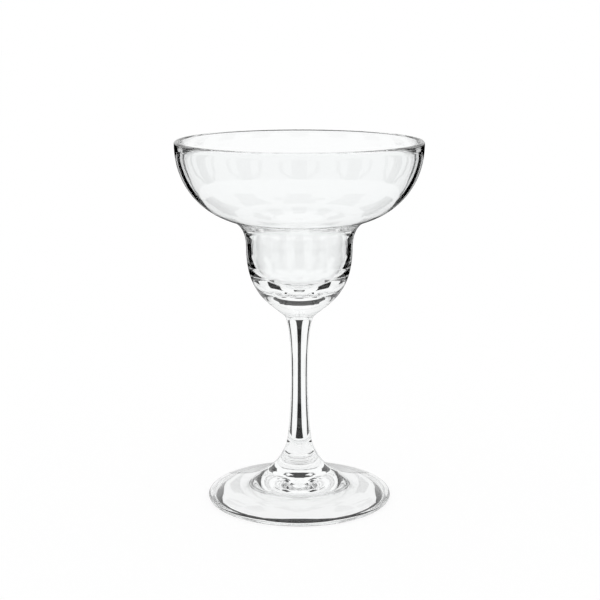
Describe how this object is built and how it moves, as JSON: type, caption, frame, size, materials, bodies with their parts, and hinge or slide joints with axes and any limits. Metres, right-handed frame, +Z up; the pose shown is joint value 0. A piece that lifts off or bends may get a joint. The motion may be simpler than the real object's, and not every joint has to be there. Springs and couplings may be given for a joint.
{
  "type": "margarita glass",
  "caption": "Clear stemmed cocktail glass: a wide upper bowl steps down through a shoulder into a small cup, on a slim drawn stem and a flared round foot.",
  "frame": {"origin": "centre of the plane that the foot stands on, on the glass's axis", "axes": "+Z up along the axis, from the foot to the rim; every piece is turned about +Z, so X and Y are free"},
  "size_m": [0.1108, 0.1108, 0.165],
  "materials": {
    "clear_glass": "clear colourless glass, fire polished, smooth and glossy"
  },
  "bodies": {
    "root": {"bowl": "clear_glass", "stem": "clear_glass", "foot": "clear_glass"}
  },
  "joints": []
}
